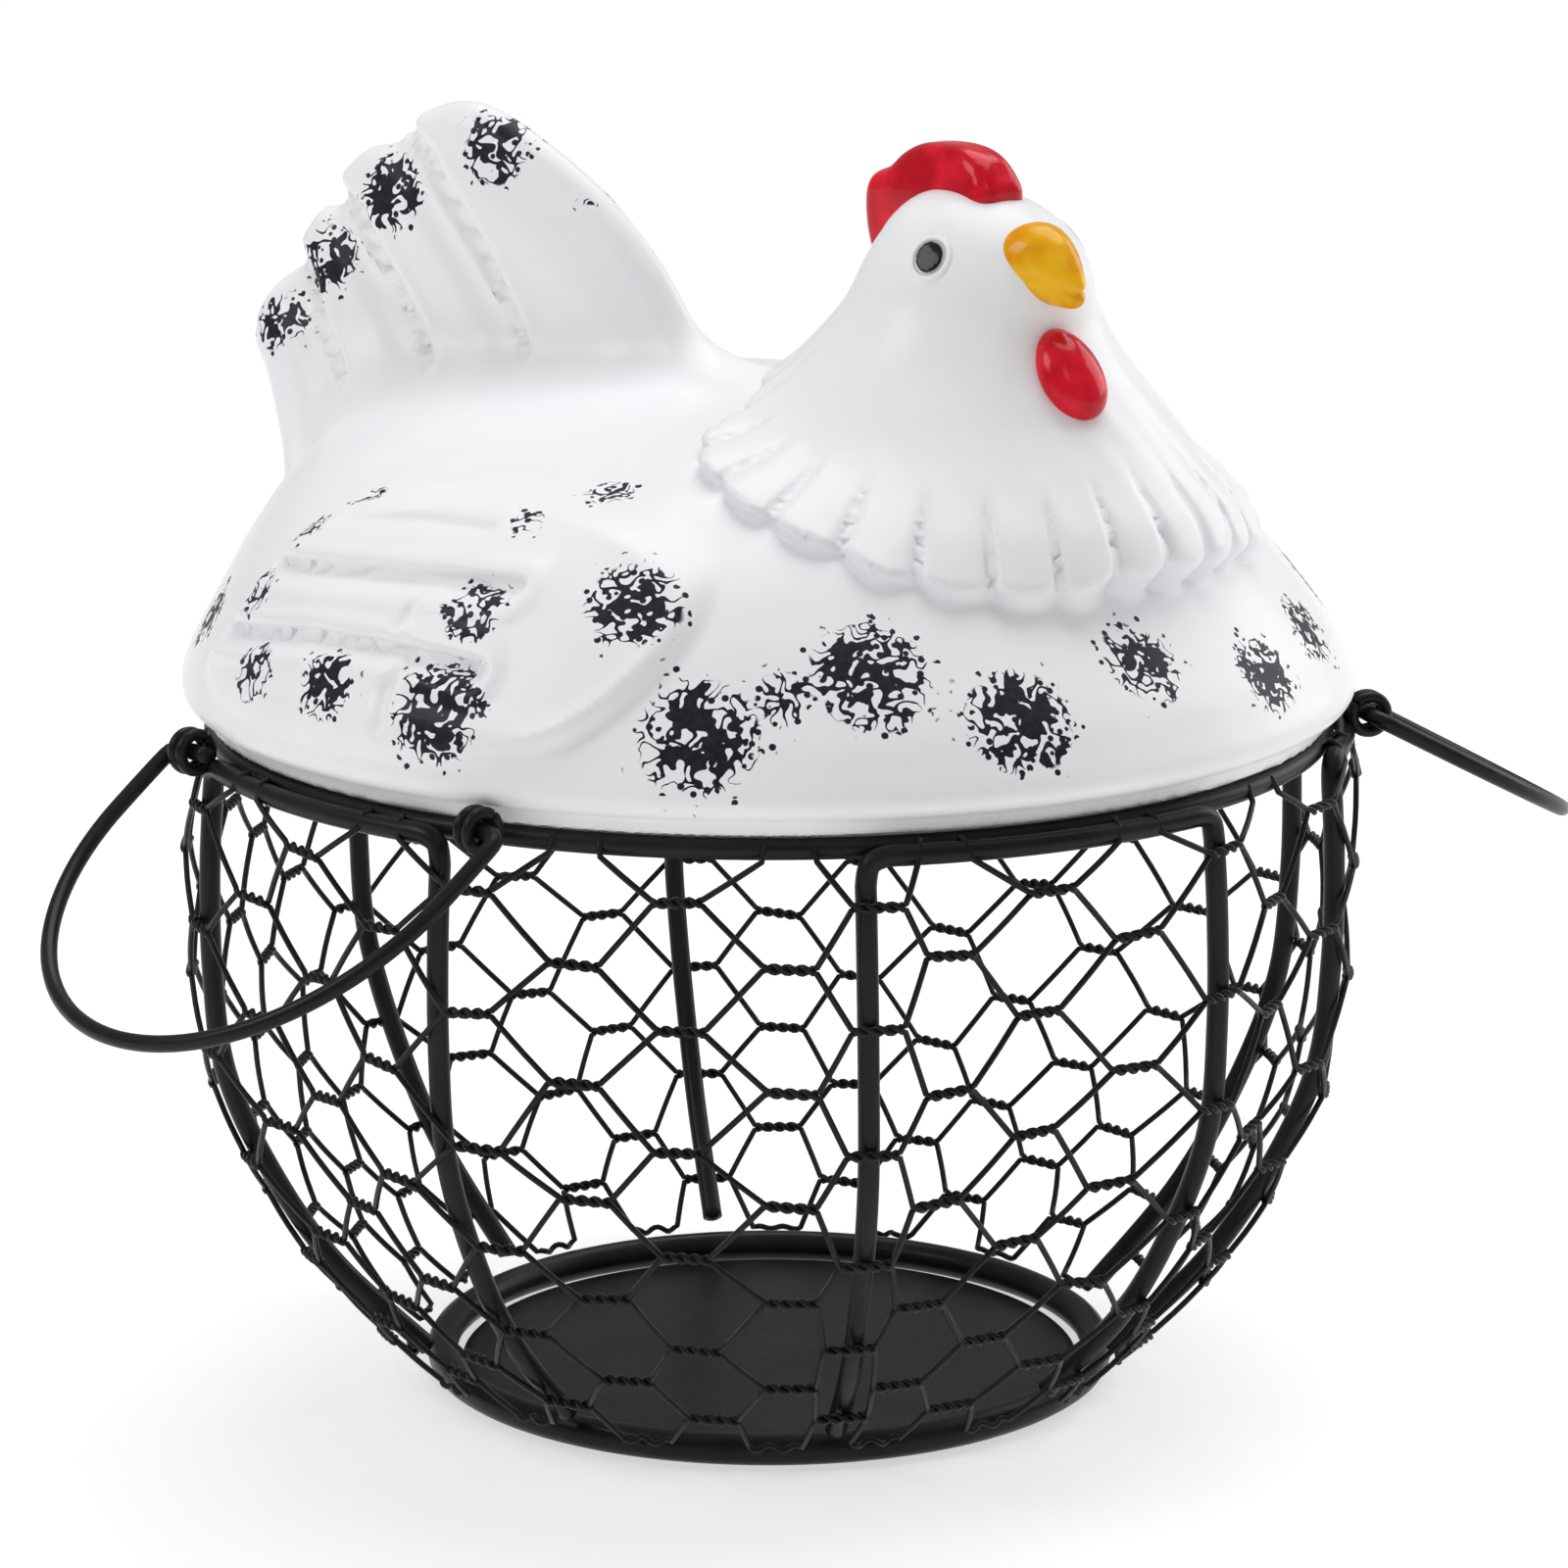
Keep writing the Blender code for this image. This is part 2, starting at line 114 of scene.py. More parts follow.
def black_wire_paint():
    """Dipped black paint on drawn wire: satin, a little lumpy, dusty in places."""
    made, tree, shader = material("black_wire_paint")
    point = object_point(tree)
    broad = noise(tree, point, 60.0, 2.0)
    fine = noise(tree, point, 1400.0, 3.0)
    lumps = noise(tree, point, 520.0, 2.0)
    colour = mix_colour(tree, ramp(tree, broad, 0.35, 0.7), (0.007, 0.007, 0.0075), (0.014, 0.0135, 0.013))
    tree.links.new(colour, shader.inputs["Base Color"])
    tree.links.new(ramp(tree, broad, 0.3, 0.75, 0.3, 0.44), shader.inputs["Roughness"])
    shader.inputs["Specular IOR Level"].default_value = 0.14
    shader.inputs["Coat Weight"].default_value = 0.06
    shader.inputs["Coat Roughness"].default_value = 0.2
    height = math_node(tree, "ADD", math_node(tree, "MULTIPLY", fine, 0.3), lumps)
    bump(tree, shader, height, 0.35, 0.00012)
    return made


def white_glaze():
    """Satin white glaze with dabbed dark flecks. The piece's speckle attribute says where the dabs are."""
    made, tree, shader = material("white_glaze")
    point = object_point(tree)
    dab = add(tree, "ShaderNodeAttribute", attribute_name="speckle").outputs["Fac"]
    ragged = math_node(tree, "SUBTRACT", noise(tree, point, 170.0, 2.0), 0.5)
    raggedness = math_node(tree, "MULTIPLY", math_node(tree, "MULTIPLY", dab, ragged), 1.5)
    dab = math_node(tree, "ADD", dab, raggedness)
    swirl = noise(tree, point, 440.0, 0.0, 0.9, 0.4)
    ridge = math_node(tree, "ABSOLUTE", math_node(tree, "SUBTRACT", swirl, 0.5), 0.0)
    dots = add(tree, "ShaderNodeTexVoronoi", {"Scale": 560.0, "Randomness": 1.0})
    tree.links.new(point, dots.inputs["Vector"])
    near_dot = ramp(tree, dots.outputs["Distance"], 0.26, 0.33, 1.0, 0.0)
    reach = math_node(tree, "MULTIPLY", math_node(tree, "POWER", dab, 1.4), 0.19)
    stroke_mask = ramp(tree, math_node(tree, "SUBTRACT", reach, ridge), -0.002, 0.006)
    stroke_mask = math_node(tree, "MULTIPLY", stroke_mask, ramp(tree, dab, 0.26, 0.34))
    sparse = noise(tree, point, 480.0, 1.0)
    dot_gate = ramp(tree, math_node(tree, "ADD", math_node(tree, "MULTIPLY", dab, 0.6), sparse), 0.62, 0.66)
    dot_mask = math_node(tree, "MULTIPLY", near_dot, dot_gate)
    mask = math_node(tree, "MAXIMUM", stroke_mask, dot_mask)
    mask = math_node(tree, "MULTIPLY", mask, ramp(tree, dab, 0.05, 0.09))
    tone = noise(tree, point, 26.0, 3.0)
    white = mix_colour(tree, ramp(tree, tone, 0.3, 0.7), (0.83, 0.845, 0.865), (0.87, 0.88, 0.89))
    shade = noise(tree, point, 900.0, 2.0)
    dark = mix_colour(tree, ramp(tree, shade, 0.35, 0.7), (0.004, 0.005, 0.010), (0.012, 0.014, 0.024))
    tree.links.new(mix_colour(tree, mask, white, dark), shader.inputs["Base Color"])
    patchy = noise(tree, point, 140.0, 3.0)
    gloss = ramp(tree, patchy, 0.3, 0.7, 0.3, 0.4)
    matt_flecks = math_node(tree, "MULTIPLY", mask, 0.15)
    tree.links.new(math_node(tree, "ADD", gloss, matt_flecks), shader.inputs["Roughness"])
    shader.inputs["Specular IOR Level"].default_value = 0.2
    shader.inputs["Coat Weight"].default_value = 0.08
    shader.inputs["Coat Roughness"].default_value = 0.12
    shader.inputs["Subsurface Weight"].default_value = 0.04
    shader.inputs["Subsurface Radius"].default_value = (0.002, 0.002, 0.002)
    ripple = noise(tree, point, 85.0, 2.0)
    ripple = math_node(tree, "MULTIPLY", ripple, 0.6)
    height = math_node(tree, "ADD", ripple, math_node(tree, "MULTIPLY", shade, 0.05))
    height = math_node(tree, "SUBTRACT", height, math_node(tree, "MULTIPLY", mask, 0.1))
    bump(tree, shader, height, 0.3, 0.0006)
    return made


def gloss_paint(name, light, deep, roughness):
    """Thick glossy brushed-on paint that is deeper in tone where it is thin."""
    made, tree, shader = material(name)
    point = object_point(tree)
    broad = noise(tree, point, 150.0, 2.0)
    tree.links.new(mix_colour(tree, ramp(tree, broad, 0.35, 0.65), deep, light), shader.inputs["Base Color"])
    tree.links.new(ramp(tree, broad, 0.3, 0.7, roughness, roughness + 0.1), shader.inputs["Roughness"])
    shader.inputs["Specular IOR Level"].default_value = 0.12
    shader.inputs["Coat Weight"].default_value = 0.2
    shader.inputs["Coat Roughness"].default_value = 0.06
    strokes = noise(tree, point, 420.0, 2.0, 0.5)
    bump(tree, shader, strokes, 0.3, 0.0004)
    return made


def polar(angle, radius, height=0.0):
    """A point in millimetres at an angle in degrees round the basket."""
    turn = math.radians(angle)
    return np.array([radius * math.cos(turn), radius * math.sin(turn), height])


def spline(points, spacing):
    """A smooth line through the points, resampled at about the spacing."""
    points = np.asarray(points, float)
    padded = np.vstack([2 * points[0] - points[1], points, 2 * points[-1] - points[-2]])
    t = np.linspace(0, 1, 16, endpoint=False)[:, None]
    line = []
    for a, b, c, d in zip(padded, padded[1:], padded[2:], padded[3:]):
        cubic = 2 * b + (c - a) * t + (2 * a - 5 * b + 4 * c - d) * t**2 + (3 * b - a - 3 * c + d) * t**3
        line.append(0.5 * cubic)
    line.append(points[-1:])
    return resample(np.vstack(line), spacing)


def resample(line, spacing):
    length = np.concatenate([[0], np.cumsum(np.linalg.norm(np.diff(line, axis=0), axis=1))])
    count = max(2, int(round(length[-1] / spacing)) + 1)
    at = np.linspace(0, length[-1], count)
    return np.column_stack([np.interp(at, length, line[:, i]) for i in range(line.shape[1])])


def tube(line, radius, sides=12, closed=False):
    """Vertices and faces of a round wire along a line, in millimetres, with rounded-off ends."""
    line = np.asarray(line, float)
    count = len(line)
    if closed:
        along = np.roll(line, -1, 0) - np.roll(line, 1, 0)
    else:
        along = np.gradient(line, axis=0)
    along /= np.linalg.norm(along, axis=1)[:, None]
    normal = np.cross(along[0], [0, 0, 1])
    if np.linalg.norm(normal) < 0.1:
        normal = np.cross(along[0], [1, 0, 0])
    normals = []
    for direction in along:
        normal = normal - direction * (normal @ direction)
        normal /= np.linalg.norm(normal)
        normals.append(normal)
    normals = np.array(normals)
    binormals = np.cross(along, normals)
    turns = np.linspace(0, math.tau, sides, endpoint=False)
    sizes = np.broadcast_to(np.asarray(radius, float), (count,)).copy()
    rings = line[:, None] + sizes[:, None, None] * (
        np.cos(turns)[None, :, None] * normals[:, None] + np.sin(turns)[None, :, None] * binormals[:, None]
    )
    verts = rings.reshape(-1, 3)
    faces = []
    rows = count if closed else count - 1
    for i in range(rows):
        j = (i + 1) % count
        for k in range(sides):
            m = (k + 1) % sides
            faces.append((i * sides + k, i * sides + m, j * sides + m, j * sides + k))
    if not closed:
        tips = np.array([line[0] - along[0] * sizes[0] * 0.5, line[-1] + along[-1] * sizes[-1] * 0.5])
        verts = np.vstack([verts, tips])
        first, last = len(verts) - 2, len(verts) - 1
        for k in range(sides):
            m = (k + 1) % sides
            faces.append((first, m, k))
            faces.append((last, (count - 1) * sides + k, (count - 1) * sides + m))
    return verts, faces


def merge(shapes):
    """One list of vertices and faces from several."""
    verts, faces, start = [], [], 0
    for some_verts, some_faces in shapes:
        verts.append(some_verts)
        faces.extend([tuple(start + i for i in face) for face in some_faces])
        start += len(some_verts)
    return np.vstack(verts), faces


def piece(name, shape, body, paint, slot, stands_for):
    """A smooth mesh object in the row frame that rides on a body and stands for some CAD nodes."""
    verts, faces = shape
    mesh = bpy.data.meshes.new(name)
    mesh.from_pydata((np.asarray(verts) * MM).tolist(), [], faces)
    builder = bmesh.new()
    builder.from_mesh(mesh)
    bmesh.ops.recalc_face_normals(builder, faces=builder.faces)
    builder.to_mesh(mesh)
    builder.free()
    mesh.shade_smooth()
    obj = bpy.data.objects.new(name, mesh)
    bpy.context.scene.collection.objects.link(obj)
    mesh.materials.append(paint)
    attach(obj, body)
    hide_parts(*stands_for)
    return obj


# ---------------------------------------------------------------- basket

WALL = ((53.1, 5.0), (68.8, 21.3), (79.1, 37.5), (86.0, 53.8), (88.1, 70.1), (88.4, 86.3), (87.6, 101.6))
ROD = 1.6
RIM_RADIUS, RIM_HEIGHT = 84.5, 102.6
BASE_RADIUS, BASE_ROD = 51.0, 2.4
# each hairpin's middle in degrees, and how far its two feet stray sideways from their tops
HAIRPINS = {
    "left": (189.0, -5.0, -1.5), "front": (268.0, 1.5, 3.5), "right": (332.0, 2.0, -2.0),
    "back": (90.0, -1.0, 2.0),
}
HALF_SPREAD = 19.0
# each handle's angle round the rim, and how far it hangs below level
HANDLES = {"left": (192.0, 36.0), "right": (348.0, 28.0)}
HANDLE_HALF_WIDTH, HANDLE_ARM, HANDLE_ROD = 38.0, 12.0, 1.25
EYE_RADIUS, EYE_SPREAD, EYE_HEIGHT = 91.0, 21.5, 104.5
EYE_LOOP, EYE_ROD = 2.7, 0.9
RUN_RADIUS, RUN_HEIGHT = 87.7, 102.0
RIBS = sorted((row[0] + side * HALF_SPREAD) % 360 for row in HAIRPINS.values() for side in (-1, 1))
NET_COLUMNS, NET_ROWS = 36, 6
NET_WIRE = 0.46
NET_SAG = 4.0
NET_TOP_TWIST = 95.6
TWIST_HALF_LENGTH, TWIST_OFFSET, TWIST_RADIUS = 3.9, 0.44, 87.0


def wall_line(outward, low, high):
    line = spline(WALL, 0.5)
    slope = np.gradient(line, axis=0)
    slope /= np.linalg.norm(slope, axis=1)[:, None]
    line = line + outward * np.column_stack([slope[:, 1], -slope[:, 0]])
    return line[(line[:, 1] >= low) & (line[:, 1] <= high)]


def sag(angle):
    """How far the netting, stretched from rib to rib, is pulled in, and whether a run is above."""
    for start, end in zip(RIBS, RIBS[1:] + [RIBS[0] + 360]):
        share = ((angle - start) % 360) / (end - start)
        if share < 1:
            middles = [row[0] for row in HAIRPINS.values()]
            under_run = any(abs((start + end) / 2 - middle) < 1 for middle in middles)
            spread = (end - start) / (2 * HALF_SPREAD)
            return NET_SAG * spread**0.8 * math.sin(math.pi * share) ** 2, under_run
    return 0.0, False


def build_rods(paint):
    turns = np.linspace(0, 360, 181)[:-1]
    rim = tube([polar(a, RIM_RADIUS, RIM_HEIGHT) for a in turns], ROD, 16, True)
    piece("rim", rim, "basket", paint, "black_wire", ["rim_ring"])
    base = tube([polar(a, BASE_RADIUS, BASE_ROD) for a in turns], BASE_ROD, 16, True)
    piece("base_hoop", base, "basket", paint, "black_wire", ["base_ring"])
    for name, (middle, twist_a, twist_b) in HAIRPINS.items():
        wall = wall_line(0.0, 6.2, RUN_HEIGHT - 2.6)[::4]
        corner = math.degrees(3.6 / RUN_RADIUS)
        legs = []
        for side, twist in ((-1, twist_a), (1, twist_b)):
            leg = []
            for radius, height in wall:
                lean = twist * ((RUN_HEIGHT - height) / 95.0) ** 1.5
                leg.append(polar(middle + side * HALF_SPREAD + lean, radius, height))
            for step in (30, 60, 90):
                turn = math.radians(step)
                back = corner * (1 - math.cos(turn))
                height = RUN_HEIGHT - 2.8 + 2.8 * math.sin(turn)
                leg.append(polar(middle + side * (HALF_SPREAD - back), RUN_RADIUS, height))
            legs.append(leg)
        run = [polar(middle + a, RUN_RADIUS, RUN_HEIGHT) for a in np.linspace(-15, 15, 9)]
        line = spline(np.array(legs[0] + run + legs[1][::-1]), 0.9)
        piece(f"ribs_{name}", tube(line, ROD, 14), "basket", paint, "black_wire", [f"rib_rod_{name}"])


def build_floor(paint):
    """The sheet-metal floor, with a rounded edge."""
    edge = [(46.4, 1.2), (47.6, 1.0), (48.0, 0.6), (47.6, 0.15), (46.4, 0.0)]
    profile = [(0.0, 1.2), (43.0, 1.2), *edge, (0.0, 0.0)]
    piece("floor", lathe(profile, 120), "basket", paint, "black_wire", ["floor_plate"])


def lathe(profile, segments):
    """A shape turned about the basket's axis from (radius, height) pairs that start and end on the axis."""
    turns = np.linspace(0, math.tau, segments, endpoint=False)
    inner = profile[1:-1]
    rows = [
        np.column_stack([r * np.cos(turns), r * np.sin(turns), np.full(segments, z)]) for r, z in inner
    ]
    verts = np.vstack([*rows, [[0, 0, profile[0][1]], [0, 0, profile[-1][1]]]])
    top, bottom = len(verts) - 2, len(verts) - 1
    faces = []
    for i in range(len(inner) - 1):
        for k in range(segments):
            m = (k + 1) % segments
            upper, lower = i * segments, (i + 1) * segments
            faces.append((upper + k, lower + k, lower + m, upper + m))
    last = (len(inner) - 1) * segments
    for k in range(segments):
        m = (k + 1) % segments
        faces.append((top, k, m))
        faces.append((bottom, last + m, last + k))
    return verts, faces


def handle_axes(name):
    angle, droop = HANDLES[name]
    out = polar(angle, 1.0)
    along = np.array([-out[1], out[0], 0])
    lean = math.radians(droop)
    reach = out * math.cos(lean) - np.array([0, 0, math.sin(lean)])
    centre = out * EYE_RADIUS * math.cos(math.radians(EYE_SPREAD)) + np.array([0, 0, EYE_HEIGHT])
    return centre, along, reach, np.cross(along, reach)


def build_handles(paint):
    half_span = EYE_RADIUS * math.sin(math.radians(EYE_SPREAD))
    for name in HANDLES:
        centre, along, reach, normal = handle_axes(name)
        half = [(30.0, 0.0), (33.0, 0.0), (35.9, 0.05), (37.3, 0.8), (HANDLE_HALF_WIDTH, 2.2)]
        for t in np.linspace(0, math.pi / 2, 14):
            half.append((HANDLE_HALF_WIDTH * math.cos(t), HANDLE_ARM + HANDLE_HALF_WIDTH * math.sin(t)))
        outline = half + [(-across, out) for across, out in reversed(half[:-1])]
        line = spline(np.array([centre + across * along + out * reach for across, out in outline]), 0.9)
        bail = tube(line, HANDLE_ROD, 14)
        piece(f"bail_{name}", bail, f"{name}_handle", paint, "black_wire", [f"handle_{name}"])
        for side, end in ((-1, "a"), (1, "b")):
            middle = centre + side * half_span * along
            turns = np.linspace(0, 1.93 * math.pi, 44) + math.radians(200)
            shapes = []
            for width in (-1.1, 0.75):
                ring = []
                for t in turns:
                    outward = EYE_LOOP * (math.cos(t) * reach + math.sin(t) * normal)
                    ring.append(middle + (width + 0.12 * math.sin(t)) * along + outward)
                shapes.append(tube(ring, EYE_ROD, 12))
            piece(f"loop_{name}_{end}", merge(shapes), "basket", paint, "black_wire", [f"eye_{name}_{end}"])


def column_angle(column):
    """Where a column of twists stands; the two columns beside the front rib are spaced by it."""
    column = column % NET_COLUMNS
    return {24: 242.0, 25: 249.6}.get(column, 256.2 + ((column - 26) % NET_COLUMNS) * 10.171)


def build_net(paint):
    """Hexagonal netting: each wire runs round the basket and twists in turn with those above and below."""
    rng = np.random.default_rng(7)
    line = wall_line(ROD + 0.75, 3.9, 100.4)
    length = np.concatenate([[0], np.cumsum(np.linalg.norm(np.diff(line, axis=0), axis=1))])
    pitch = float(np.interp(NET_TOP_TWIST, line[:, 1], length)) / (NET_ROWS - 0.5)
    wobbles = {}
    for column in range(NET_COLUMNS):
        for row in range(-1, NET_ROWS + 2):
            wobbles[column, row] = rng.normal(0, 1, 4) * (0.5, 0.7, 0.045, 0.35)

    def spot(column, row, share, rise, depth):
        """A point near a twist: share of the twist's half length, rise up the wall and depth outward.

        Above the top row of twists there is none: the wire laps over the rim instead."""
        wobble = wobbles[column % NET_COLUMNS, row]
        along = pitch * (row + 0.5 * (column % 2)) + wobble[1] + rise
        if row + 0.5 * (column % 2) >= NET_ROWS:
            angle = column_angle(column) + math.degrees(share * TWIST_HALF_LENGTH / TWIST_RADIUS)
            outer = 89.3 if sag(angle)[1] else 86.7
            lap = float(np.interp(abs(share), (0.7, 0.8, 1.0), (0.0, 0.5, 1.0)))
            height = 103.0 + 1.2 * math.sin(math.pi * lap) - 1.8 * max(0.0, 2 * lap - 1)
            return polar(angle, outer - 2 * ROD * (1 - lap), height)
        across = share * TWIST_HALF_LENGTH + wobble[0]
        along += across * wobble[2]
        along = min(max(along, 0.0), length[-1])
        radius = np.interp(along, length, line[:, 0])
        height = np.interp(along, length, line[:, 1])
        slope = np.array([
            np.interp(along + 1, length, line[:, 1]) - np.interp(along - 1, length, line[:, 1]),
            np.interp(along + 1, length, line[:, 0]) - np.interp(along - 1, length, line[:, 0]),
        ])
        slope /= np.linalg.norm(slope)
        angle = column_angle(column) + math.degrees(across / radius)
        pull, under_run = sag(angle)
        pull *= min(1.0, height / 40.0)
        if under_run:
            pull *= min(1.0, max(0.1, (97.5 - height) / 14.0 + 0.1))
        radius -= pull
        if height > 96.0:
            radius = max(radius, 86.9)
        return polar(angle, radius + depth * slope[0], height - depth * slope[1])

    shapes = []
    for family in (0, 1):
        for wire in range(0, NET_ROWS + 1 + family):
            run = []
            for column in range(NET_COLUMNS + 1):
                odd = column % 2
                row = wire - family if (family and odd) else wire
                if row < 0 or row + 0.5 * odd > NET_ROWS:
                    if len(run) > 1:
                        shapes.append(tube(np.vstack(run), NET_WIRE, 8))
                    run = []
                    continue
                upper = (family == 0) != bool(odd)
                start = 0.0 if upper else math.pi
                points = []
                for share in np.linspace(-1, 1, 17):
                    phase = start + (share + 1) * math.tau
                    rise, depth = TWIST_OFFSET * math.cos(phase), TWIST_OFFSET * math.sin(phase)
                    points.append(spot(column, row, share, rise, depth))
                if run:
                    run.append(slack_wire(run[-1][-1], points[0]))
                run.append(np.array(points))
            if len(run) > 1:
                shapes.append(tube(np.vstack(run), NET_WIRE, 8))
    piece("netting", merge(shapes), "basket", paint, "black_wire", [f"net_panel_{i}" for i in range(1, 10)])


def slack_wire(start, end):
    """Points along a wire between two twists, bowed slightly outward."""
    points = []
    for share, lift in ((0.2, 0.10), (0.4, 0.18), (0.6, 0.18), (0.8, 0.10)):
        point = start + (end - start) * share
        point[:2] *= 1 + lift / math.hypot(point[0], point[1])
        points.append(point)
    return np.array(points)


# ---------------------------------------------------------------- hen lid, in its own axes, millimetres

BODY = (
    # height, rear, front, side reach
    (106.9, 85.6, 85.6, 85.6),
    (107.6, 88.0, 88.0, 88.0),
    (110.0, 89.3, 89.3, 89.3),
    (114.0, 88.6, 87.6, 88.0),
    (120.0, 85.6, 84.0, 84.8),
    (131.0, 80.0, 74.0, 77.0),
    (140.0, 74.5, 65.0, 66.5),
    (147.0, 67.0, 55.0, 52.0),
    (151.5, 52.0, 43.0, 35.0),
    (153.6, 34.0, 30.0, 19.0),
    (154.4, 16.0, 14.0, 8.0),
    (154.6, 0.0, 0.0, 0.0),
)
NECK = (
    # height, centre ahead, radius
    (128.0, 33.0, 44.5),
    (136.0, 33.5, 43.6),
    (142.0, 34.0, 41.0),
    (148.0, 34.0, 36.0),
    (156.0, 34.0, 29.8),
    (163.0, 35.0, 23.6),
    (170.0, 36.4, 18.9),
    (176.0, 37.2, 16.6),
    (180.5, 37.2, 13.9),
    (183.4, 36.6, 11.2),
    (185.6, 36.0, 7.8),
    (186.9, 35.6, 4.0),
    (187.2, 35.6, 0.0),
)
TAIL = (
    (-84.0, 128.0), (-89.6, 139.0), (-92.6, 148.0), (-95.3, 153.0), (-95.0, 158.5), (-92.0, 163.0),
    (-89.0, 165.6), (-88.6, 170.0), (-85.6, 174.0), (-81.6, 175.6), (-80.8, 180.0), (-76.6, 184.0),
    (-71.0, 185.6), (-68.6, 187.8), (-64.0, 191.2), (-57.0, 193.0), (-50.0, 191.6), (-38.3, 185.6),
    (-28.8, 179.0), (-20.3, 170.4), (-12.6, 159.6),
    (-6.0, 153.4), (0.0, 149.0), (-4.0, 138.0), (-40.0, 132.0), (-80.0, 130.0),
)
TAIL_GROOVES = (
    ((-88.0, 166.5), (-84.1, 163.2), (-79.7, 156.3), (-74.0, 149.5)),
    ((-80.5, 177.5), (-74.7, 174.6), (-65.9, 162.5), (-58.5, 152.8)),
    ((-67.5, 188.5), (-61.0, 184.6), (-49.6, 170.4), (-41.0, 155.8)),
)
WING = (
    (-49.0, 126.0), (-45.5, 131.5), (-40.3, 138.0), (-34.7, 141.1), (-23.0, 144.3), (-10.8, 146.4),
    (2.0, 147.0),
    (12.0, 146.4), (20.3, 144.9), (27.5, 142.2), (32.8, 138.9), (35.1, 134.6), (34.9, 130.3), (32.2, 124.9),
    (27.6, 119.5), (20.0, 115.0), (6.0, 112.0), (-20.0, 111.0), (-44.0, 112.0), (-54.0, 116.0),
    (-52.0, 121.0),
)
WING_GROOVES = (
    # points in the wing's own side view, groove depth, groove half width
    (((-31.5, 140.3), (-14.9, 142.0), (-1.8, 142.2)), 0.5, 0.8),
    (((-43.0, 132.6), (-19.6, 134.8), (-3.8, 135.8), (8.5, 136.0)), 1.5, 1.2),
    (((-50.0, 122.3), (-24.4, 126.0), (-5.5, 126.7), (8.0, 125.4)), 1.6, 1.2),
    (((-6.0, 133.6), (-7.4, 130.0)), 0.5, 0.9),
    (((-5.0, 117.0), (-5.6, 122.0), (-3.0, 125.6)), 0.7, 1.1),
)
SPECKLES = (
    # x, y, z, radius in millimetres, strength
    (-47.8, -5, 187.2, 6.5, 1.0), (-68.1, -5, 178.5, 6.8, 1.0), (-80.5, -5, 166.9, 6.0, 1.0),
    (-88.0, -5, 155.5, 6.0, 1.0), (-31.0, -5, 181.5, 3.4, 0.9), (-23.0, -5, 174.4, 3.0, 0.7),
    (-37.7, -63, 137.6, 4.6, 0.6), (-31.1, -57, 141.4, 4.4, 0.5), (9.1, -53, 145.4, 5.4, 0.55),
    (3.3, -64, 141.8, 4.6, 0.5), (-42.5, -70, 128.9, 5.0, 0.7), (26.0, -69.5, 134.0, 8.0, 1.0),
    (3.7, -77.8, 132.6, 6.4, 0.75), (-35.1, -80.6, 119.5, 5.0, 0.9), (-17.3, -85, 120.6, 6.0, 0.9),
    (4.3, -86.5, 119.8, 8.4, 1.05), (40.5, -74.5, 118.5, 9.4, 1.05), (57.2, -56.5, 126.5, 9.4, 1.0),
    (49.0, -66, 123.4, 5.4, 0.6), (73.2, -42.8, 119.5, 8.8, 1.0), (79.3, -18.9, 125.0, 8.0, 0.8),
    (85.9, 5.7, 119.5, 7.6, 0.9), (79.8, 28.6, 122.0, 7.4, 0.9), (62.0, 52.0, 122.0, 8.4, 0.9),
    (38.0, 72.0, 121.5, 8.6, 1.0), (8.0, 84.0, 121.0, 8.0, 1.0), (26.0, 69.5, 134.0, 7.6, 0.9),
    (-18.0, 84.0, 121.0, 6.6, 0.9), (-40.0, 77.0, 120.5, 6.0, 0.9), (4.0, 77.8, 132.8, 6.4, 0.8),
    (-42.0, 70.0, 130.0, 5.2, 0.8), (6.0, 60.0, 143.0, 5.4, 0.7), (-30.0, 60.0, 140.5, 5.0, 0.7),
    (-62.0, 58.0, 122.0, 7.6, 0.9), (-78.0, 34.0, 122.0, 8.0, 0.95), (-85.0, 4.0, 121.0, 8.2, 1.0),
    (-77.0, -36.0, 121.0, 7.4, 0.9), (-62.0, -58.0, 121.0, 6.0, 0.8), (-48.0, 5, 186.8, 6.5, 1.0),
    (-68.0, 5, 178.0, 6.6, 1.0), (-80.0, 5, 166.0, 6.2, 1.0), (-87.0, 5, 155.0, 6.0, 1.0),
    (-30.0, 5, 180.0, 4.4, 0.9),
)
PETALS = 28
FLECK_SPREAD = 0.84
NECK_AHEAD, HEAD_AHEAD = 34.0, 37.3
# angle from the hen's heading in degrees, then the skirt edge's reach from the neck's centre, or its height
SKIRT_REACH = (
    (0, 41.3), (15, 41.8), (26, 42.8), (34, 45.4), (45, 47.0), (56, 48.8), (69, 50.3), (78, 50.0),
    (89, 49.7),
    (99.5, 48.0), (110, 45.5), (118, 42.0), (126, 35.0), (136, 29.0), (180, 27.0),
)
SKIRT_LEVEL = (
    (0, 133.0), (34, 133.8), (45, 134.6), (56, 136.0), (69, 138.0), (78, 141.0), (89, 143.5), (99.5, 146.0),
    (110, 149.0), (125, 152.5), (150, 155.0), (180, 156.0),
)
CERAMIC = 4.5
STEP_RADIUS, STEP_HEIGHT = 85.4, 104.6
LIP_INSIDE, LIP_OUTSIDE, LIP_HEIGHT = 79.4, 82.2, 101.6


def smooth_max(a, b, soft):
    gap = np.clip(0.5 + 0.5 * (a - b) / soft, 0, 1)
    return b + (a - b) * gap + soft * gap * (1 - gap)


def smooth_min(a, b, soft):
    return -smooth_max(-a, -b, soft)


